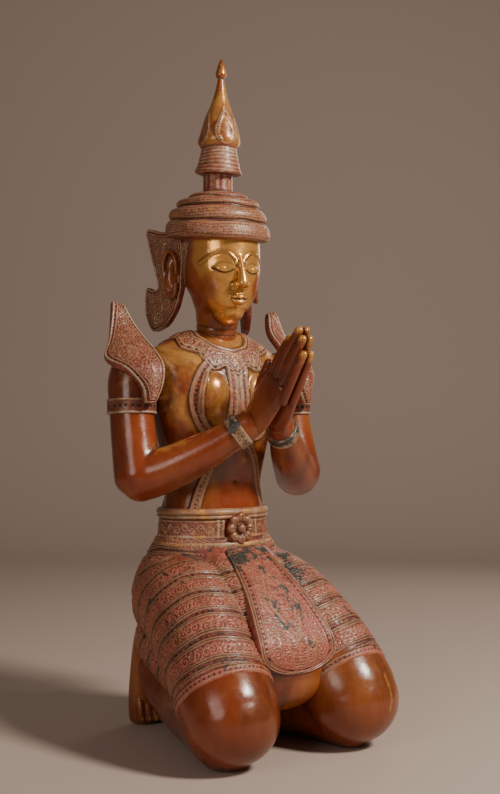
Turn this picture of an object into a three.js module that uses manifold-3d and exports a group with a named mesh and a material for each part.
import * as THREE from "three";
import { mergeVertices } from "three/addons/utils/BufferGeometryUtils.js";
import Module from "manifold-3d";

const wasm = await Module();
wasm.setup();

// All sizes in mm. The figure faces -Y, its own left is +X, and it stands on Z = 0.
// Stations are [x, y, z, half across, half through], from one end of a form to the other.

const MIDDLE_Y = 66.8;

const TORSO = [
  [0, 4, 205, 88, 70],
  [0, 2, 255, 79, 62],
  [0, 0, 300, 72, 55],
  [0, 0, 335, 70, 52],
  [0, -1, 375, 78, 56],
  [0, -1, 415, 88, 60],
  [0, -1, 450, 96, 61],
  [0, 0, 484, 101, 56],
  [0, 4, 511, 96, 44],
  [0, 6, 528, 62, 32],
];
const NECK = [
  [0, 0, 500, 40, 38],
  [0, -2, 522, 30, 30],
  [0, -7, 545, 28, 28],
  [0, -12, 575, 32, 34],
  [0, -14, 600, 36, 38],
];
const HEAD = [
  [0, -18, 584, 39, 42],
  [0, -19, 596, 47, 51],
  [0, -20, 615, 52, 58],
  [0, -17, 645, 53, 60],
  [0, -17, 680, 52, 59],
];
const JAW = [
  [0, -42, 562, 20, 26],
  [0, -41, 570, 31, 33],
  [0, -38, 584, 41, 37],
  [0, -33, 606, 44, 40],
];
const NOSE = [
  [0, -76, 634, 4, 5],
  [0, -80, 618, 5, 6],
  [0, -84, 602, 8, 8],
];
const BROW = [
  [5, -78, 631, 2.2, 3],
  [16, -76, 640, 2.2, 3],
  [30, -68, 640, 2.2, 3],
  [42, -53, 631, 2, 3],
];
const EYE = { at: [21, -70, 618], half: [12, 6, 6] };
const LIPS = { at: [0, -70, 579], half: [12, 8, 6] };
const EAR = [
  [53, 4, 640, 9, 7],
  [57, 10, 625, 13, 9],
  [56, 12, 605, 11, 8],
  [53, 8, 588, 7, 6],
];

const HEAD_TURN = -8;
const CROWN_Y = -17;
const CROWN_PROFILE = [
  [0, 655], [58, 655], [68, 664], [72, 672], [65.5, 687],
  [67, 692], [64, 700], [56, 704.5], [57, 709], [53, 716], [43, 718], [43.5, 723],
  [34, 728], [22, 730], [20, 735], [20, 748], [31, 753], [27, 763], [27.5, 768],
  [25, 773], [25.5, 778], [22.5, 787], [25, 791], [27.5, 797], [26, 806], [19, 822],
  [13, 840], [8, 858], [4, 880], [7.2, 889], [5.5, 899], [0, 911],
];
const CROWN_TILT = 0.115;
const BELL_TILT = 0.13;

const FLANGE_OUTLINE = [
  [-2, 594], [0, 640], [7, 669], [30, 676], [57, 681], [54, 660], [45, 632], [35, 602],
  [44, 597], [57, 600], [60, 572], [54, 552], [44, 540], [30, 542], [17, 548], [3, 568],
];
const FLANGE_AT = [54, 2, 0];
const FLANGE_FLARE = 0.36;
const FLANGE_THICK = 10;
const FLANGE_STEPS = 24;

const UPPER_ARM = [
  [118, 5, 492, 30, 32],
  [126, 4, 466, 31, 32],
  [129, -2, 425, 29, 30],
  [130, -12, 380, 30, 31],
  [131, -22, 345, 31, 32],
];
const FOREARM = [
  [130, -20, 343, 31, 31],
  [104, -46, 355, 28, 29],
  [74, -74, 374, 25, 26],
  [45, -101, 396, 20, 21],
  [22, -121, 416, 17, 20],
];
const ARMBAND = [[128, -1, 426, 33, 34], [128, 0, 446, 33.5, 34.5]];
const BRACELET = [[39, -106, 401, 21, 22.5], [31, -113, 408, 20, 22]];

const PALM = [
  [17, -123, 420, 13, 22],
  [13, -138, 442, 13, 26],
  [9, -156, 466, 10, 26],
];
const FINGERS = [
  { from: [8, -136, 468], mid: [7, -160, 500], to: [5, -180, 522], half: 7 },
  { from: [8, -146, 462], mid: [7, -174, 502], to: [5, -198, 532], half: 7.2 },
  { from: [8, -157, 454], mid: [7, -185, 493], to: [5, -206, 521], half: 7 },
  { from: [8, -166, 445], mid: [7, -191, 479], to: [5, -208, 502], half: 6.4 },
];
const THUMB = { from: [13, -122, 437], mid: [10, -124, 465], to: [5, -135, 492], half: 7.5 };

const SHOULDER_OUTER = [
  [135, -42, 440], [140, -41, 462], [154, -28, 484], [168, 2, 500], [155, 16, 520], [145, 27, 542], [136, 37, 577],
];
const SHOULDER_INNER = [
  [119, -46, 440], [108, -48, 464], [104, -45, 488], [106, -28, 509], [110, -6, 526], [115, 16, 545], [122, 35, 574],
];
const SHOULDER_BULGE = 11;
const SHOULDER_THICK = 8;

const HIPS = [
  [0, 8, 120, 70, 55],
  [0, 6, 140, 98, 80],
  [0, 4, 175, 114, 90],
  [0, 2, 205, 112, 87],
  [0, 0, 235, 100, 76],
  [0, 0, 256, 86, 66],
];
const THIGH = [
  [57, 3, 187, 63, 69],
  [70, -60, 170, 67, 66],
  [84, -125, 122, 65, 63],
  [94, -168, 78, 62, 60],
  [96, -182, 59, 60, 58],
];
const SHIN = [
  [96, -172, 54, 54, 57.5],
  [80, -108, 47, 43, 46],
  [62, -40, 40, 36, 38],
  [53, 40, 56, 28, 28],
  [52, 66, 84, 24, 24],
];
const SKIRT_FALL = [
  [58, 8, 122, 50, 44],
  [66, -50, 98, 47, 42],
  [82, -112, 76, 44, 40],
];
const FOOT = [
  [51, 70, 142, 22, 20],
  [51, 76, 110, 26, 25],
  [51, 82, 70, 28, 23],
  [51, 85, 32, 30, 20],
  [51, 84, 10, 30, 16],
];
const TOE_COUNT = 5;
const SKIRT_FRONT = [
  [0, -18, 226, 54, 42],
  [0, -42, 213, 56, 46],
  [0, -99, 171, 59, 47],
  [0, -134, 123, 57, 48],
  [0, -140, 88, 48, 38],
];
const APRON = [
  { y: -70, z: 252, half: 31 },
  { y: -132, z: 206, half: 44 },
  { y: -176, z: 158, half: 57 },
  { y: -190, z: 132, half: 60 },
  { y: -189, z: 104, half: 60 },
];

const APRON_ROUND = 0.72;
const APRON_THICK = 2.5;
const APRON_BOW = 2;

const BELT_PROFILE = [
  [0, 250], [84, 250], [87, 254], [84, 259], [80, 261], [78, 291], [82, 294], [83, 299], [79, 303], [0, 303],
];
const BELT_DEPTH = 0.775;
const BUCKLE = { y: -66, z: 276, petals: 8, reach: 15, boss: 7.5 };

const BREAST = { at: [33, -42, 452], half: [30, 25, 35] };

const WOOD = { color: "#7a3b1f", roughness: 0.45, metalness: 0.1 };

/** Turns a closed geometry into a solid that can be joined. */
function solidOf(geometry) {
  const bare = geometry.clone();
  bare.deleteAttribute("normal");
  bare.deleteAttribute("uv");
  const merged = mergeVertices(bare, 1e-3);
  const index = [];
  for (let i = 0; i < merged.index.count; i += 3) {
    const [a, b, c] = [0, 1, 2].map((k) => merged.index.getX(i + k));
    if (a !== b && b !== c && a !== c) {
      index.push(a, b, c);
    }
  }
  const mesh = new wasm.Mesh({
    numProp: 3,
    vertProperties: Float32Array.from(merged.attributes.position.array),
    triVerts: Uint32Array.from(index),
  });
  return new wasm.Manifold(mesh);
}

function joined(solids) {
  return solids.reduce((whole, next) => whole.add(next));
}

/** The outer body alone, with the pockets closed off between limbs filled. */
function bodyOf(solid) {
  return solid.decompose().reduce((largest, next) => (next.volume() > largest.volume() ? next : largest));
}

/** Moves every vertex of a geometry by a function of its place. */
function reshaped(geometry, place) {
  const at = geometry.attributes.position;
  const point = new THREE.Vector3();
  for (let i = 0; i < at.count; i += 1) {
    point.fromBufferAttribute(at, i);
    const moved = place(point);
    at.setXYZ(i, moved.x, moved.y, moved.z);
  }
  return geometry;
}

/** A rounded form that follows stations, with an oval section at each one, or a squarer one where box is below 1. */
function limb(stations, { around = 16, along = 3, cap = 2, across = [1, 0, 0], roundness = 0.8, box = 1 } = {}) {
  const last = stations.length - 1;
  const spine = new THREE.CatmullRomCurve3(stations.map((s) => new THREE.Vector3(s[0], s[1], s[2])));
  const girth = new THREE.CatmullRomCurve3(stations.map((s) => new THREE.Vector3(s[3], s[4], 0)));
  const form = new THREE.CapsuleGeometry(1, 1, cap, around, last * along);
  const side = new THREE.Vector3();
  return reshaped(form, (p) => {
    const t = THREE.MathUtils.clamp(p.y + 0.5, 0, 1);
    const over = p.y - THREE.MathUtils.clamp(p.y, -0.5, 0.5);
    const centre = spine.getPoint(t);
    const ahead = spine.getTangent(t);
    const size = girth.getPoint(t);
    side.set(...across).addScaledVector(ahead, -ahead.dot(new THREE.Vector3(...across))).normalize();
    const up = new THREE.Vector3().crossVectors(side, ahead);
    const end = Math.min(size.x, size.y) * roundness * over;
    const reach = Math.max(Math.hypot(p.x, p.z), 1e-9);
    const wide = Math.sign(p.x) * Math.pow(Math.abs(p.x) / reach, box) * reach * size.x;
    const tall = Math.sign(p.z) * Math.pow(Math.abs(p.z) / reach, box) * reach * size.y;
    return centre.addScaledVector(side, wide).addScaledVector(up, tall).addScaledVector(ahead, end);
  });
}

function mirrored(stations) {
  return stations.map((s) => [-s[0], ...s.slice(1)]);
}

function ellipsoid({ at, half }, around = 10, rings = 6) {
  const ball = new THREE.SphereGeometry(1, around, rings);
  return reshaped(ball, (p) => p.set(at[0] + p.x * half[0], at[1] + p.y * half[1], at[2] + p.z * half[2]));
}

/** Both hands' side: the solid as given and its mirror image across the middle plane. */
function pair(solid) {
  return [solid, solid.mirror([1, 0, 0])];
}

function turned(profile, around, depth, centreY, shear = () => 0) {
  const form = new THREE.LatheGeometry(profile.map(([r, z]) => new THREE.Vector2(r, z)), around);
  return reshaped(form, (p) => {
    const x = p.x;
    const y = -p.z * depth;
    return p.set(x, y + centreY, p.y + shear(p.y, y));
  });
}

function headSolid() {
  const across = { across: [1, 0, 0] };
  const head = limb(HEAD, { around: 17, along: 1, cap: 2, ...across });
  const jaw = limb(JAW, { around: 13, along: 1, cap: 2, ...across });
  const nose = limb(NOSE, { around: 5, along: 1, cap: 1, ...across });
  const eye = pair(solidOf(ellipsoid(EYE, 7, 4)));
  const brow = pair(solidOf(limb(BROW, { around: 4, along: 1, cap: 1, across: [0, 0, 1] })));
  const ear = pair(solidOf(limb(EAR, { around: 7, along: 1, cap: 1, across: [0, 1, 0] })));
  const lips = solidOf(ellipsoid(LIPS, 8, 4));
  return joined([solidOf(head), solidOf(jaw), solidOf(nose), lips, ...eye, ...brow, ...ear]);
}

/** The stepped cap, its bell, bud and spire. The tiers dip towards the front. */
function crownSolid() {
  const shear = (z, y) => {
    const rim = THREE.MathUtils.clamp((728 - z) / 50, 0, 1) * CROWN_TILT;
    const bell = THREE.MathUtils.clamp(1 - Math.abs(z - 758) / 14, 0, 1) * BELL_TILT;
    return (rim + bell) * y;
  };
  return solidOf(turned(CROWN_PROFILE, 19, 1, CROWN_Y, shear));
}

function flangeSolid() {
  const curve = new THREE.CatmullRomCurve3(FLANGE_OUTLINE.map(([u, z]) => new THREE.Vector3(u, z, 0)), true);
  const outline = curve.getPoints(FLANGE_STEPS).slice(0, -1);
  const shape = new THREE.Shape(outline.map((p) => new THREE.Vector2(p.x, p.y)));
  const plate = new THREE.ExtrudeGeometry(shape, { depth: FLANGE_THICK, bevelEnabled: false });
  const back = new THREE.Vector3(Math.sin(FLANGE_FLARE), Math.cos(FLANGE_FLARE), 0);
  const out = new THREE.Vector3(back.y, -back.x, 0);
  return solidOf(reshaped(plate, (p) => {
    const at = new THREE.Vector3(...FLANGE_AT).addScaledVector(back, p.x).addScaledVector(out, p.z - FLANGE_THICK / 2);
    return at.setZ(p.y);
  }));
}

/** A curved plate between two edge lines, raised in its middle. */
function shell(from, to, bulge, thick, lengthwise, crosswise) {
  const left = new THREE.CatmullRomCurve3(from.map((s) => new THREE.Vector3(...s)));
  const right = new THREE.CatmullRomCurve3(to.map((s) => new THREE.Vector3(...s)));
  const plate = new THREE.BoxGeometry(1, 1, 1, crosswise, lengthwise, 1);
  return reshaped(plate, (p) => {
    const t = p.y + 0.5;
    const a = left.getPoint(t);
    const b = right.getPoint(t);
    const chord = b.clone().sub(a);
    const ahead = left.getTangent(t).add(right.getTangent(t)).normalize();
    const out = chord.clone().cross(ahead).normalize();
    const swell = bulge * (1 - 4 * p.x * p.x) * Math.sin(Math.PI * Math.min(1, 0.25 + t * 0.75));
    const at = a.addScaledVector(chord, p.x + 0.5);
    return at.addScaledVector(out, swell + (p.z - 0.5) * thick);
  });
}

function shoulderSolid() {
  const plate = shell(SHOULDER_INNER, SHOULDER_OUTER, SHOULDER_BULGE, SHOULDER_THICK, 8, 3);
  return solidOf(plate);
}

function armSolid() {
  const upper = limb(UPPER_ARM, { around: 11, along: 1, across: [1, 0, 0] });
  const fore = limb(FOREARM, { around: 11, along: 1, across: [0.6, -0.8, 0] });
  const armband = limb(ARMBAND, { around: 11, along: 1, cap: 1, roundness: 0.06 });
  const bracelet = limb(BRACELET, { around: 11, along: 1, cap: 1, across: [0.6, -0.8, 0], roundness: 0.06 });
  return joined([upper, fore, armband, bracelet].map(solidOf));
}

function handSolid() {
  const palm = limb(PALM, { around: 10, along: 1, across: [1, 0, 0] });
  const digits = [...FINGERS, THUMB].map(({ from, mid, to, half }) => {
    const stations = [[...from, half, half], [...mid, half, half * 0.95], [...to, half * 0.72, half * 0.72]];
    return solidOf(limb(stations, { around: 5, along: 1, cap: 1, across: [1, 0, 0] }));
  });
  return joined([solidOf(palm), ...digits]);
}

function footSolid() {
  const toes = [];
  for (let i = 0; i < TOE_COUNT; i += 1) {
    const half = 7.8 - i * 0.7;
    const x = 30 + i * 10.4;
    toes.push(solidOf(limb([[x, 78, 8, half, 8], [x, 62 + i * 1.5, 7.5, half, 7]], { around: 5, along: 1, cap: 1 })));
  }
  return joined([solidOf(limb(FOOT, { around: 9, along: 1 })), ...toes]);
}

/** The hanging cloth over the lap: a bowed plate that widens and ends in a round edge. */
function apronSolid() {
  const line = new THREE.CatmullRomCurve3(APRON.map((s) => new THREE.Vector3(s.half, s.y, s.z)));
  const plate = new THREE.BoxGeometry(1, 1, 1, 4, 7, 1);
  return solidOf(reshaped(plate, (p) => {
    const t = 1 - Math.pow(0.5 - p.y, 0.8);
    const late = THREE.MathUtils.clamp((1 - t - APRON_ROUND) / (1 - APRON_ROUND), 0, 1);
    const at = line.getPoint(1 - t);
    const ahead = line.getTangent(1 - t);
    const out = new THREE.Vector3(0, ahead.z, -ahead.y).normalize();
    const depth = p.z > 0 ? APRON_THICK + APRON_BOW * (1 - 4 * p.x * p.x) : -20;
    const x = 2 * p.x * at.x * Math.sqrt(1 - late * late);
    return new THREE.Vector3(x, at.y + out.y * depth, at.z + out.z * depth);
  }));
}

function beltSolid() {
  return solidOf(turned(BELT_PROFILE, 24, BELT_DEPTH, 0));
}

/** The carved flower on the belt. */
function buckleSolid() {
  const petals = [];
  for (let i = 0; i < BUCKLE.petals; i += 1) {
    const a = (i / BUCKLE.petals) * Math.PI * 2;
    const at = [Math.cos(a) * BUCKLE.reach, BUCKLE.y, BUCKLE.z + Math.sin(a) * BUCKLE.reach];
    petals.push(solidOf(ellipsoid({ at, half: [6.2, 6, 6.2] }, 6, 4)));
  }
  const boss = { at: [0, BUCKLE.y - 2, BUCKLE.z], half: [BUCKLE.boss, 7, BUCKLE.boss] };
  return joined([...petals, solidOf(ellipsoid(boss, 7, 4))]);
}

/** The head with its crown and ear flanges, turned a little to its own right. */
function crownedHead() {
  const upright = joined([headSolid(), crownSolid(), ...pair(flangeSolid())]);
  return upright.translate([0, -CROWN_Y, 0]).rotate([0, 0, HEAD_TURN]).translate([0, CROWN_Y, 0]);
}

function legSolid() {
  const thigh = limb(THIGH, { around: 15, along: 1, cap: 3, roundness: 0.95 });
  const shin = limb(SHIN, { around: 10, along: 1, cap: 1, roundness: 0.7 });
  const fall = limb(SKIRT_FALL, { around: 8, along: 1, cap: 1 });
  return joined([solidOf(thigh), solidOf(shin), solidOf(fall), footSolid()]);
}

function floorSolid() {
  return solidOf(new THREE.BoxGeometry(600, 600, 60).translate(0, -60, -30));
}

function figure() {
  const side = [legSolid(), armSolid(), handSolid(), shoulderSolid(), solidOf(ellipsoid(BREAST, 8, 5))];
  const body = [
    limb(TORSO, { around: 16, along: 1, cap: 1, roundness: 0.2 }),
    limb(NECK, { around: 12, along: 1, cap: 1, roundness: 0.1 }),
    limb(HIPS, { around: 17, along: 1, cap: 1, roundness: 0.15 }),
    limb(SKIRT_FRONT, { around: 16, along: 1, cap: 2, box: 0.45 }),
  ].map(solidOf);
  const middle = [crownedHead(), apronSolid(), beltSolid(), buckleSolid()];
  const whole = joined([...body, ...middle, ...side.flatMap(pair)]);
  return bodyOf(whole.subtract(floorSolid())).translate([0, MIDDLE_Y, 0]);
}

function meshOf(solid) {
  const { vertProperties, triVerts } = solid.getMesh();
  const geometry = new THREE.BufferGeometry();
  geometry.setAttribute("position", new THREE.BufferAttribute(Float32Array.from(vertProperties), 3));
  geometry.setIndex(Array.from(triVerts));
  geometry.computeVertexNormals();
  const mesh = new THREE.Mesh(geometry, new THREE.MeshStandardMaterial(WOOD));
  mesh.name = "figure";
  return mesh;
}

const statue = new THREE.Group();
statue.name = "theppanom_statue";
statue.add(meshOf(figure()));

export default statue;
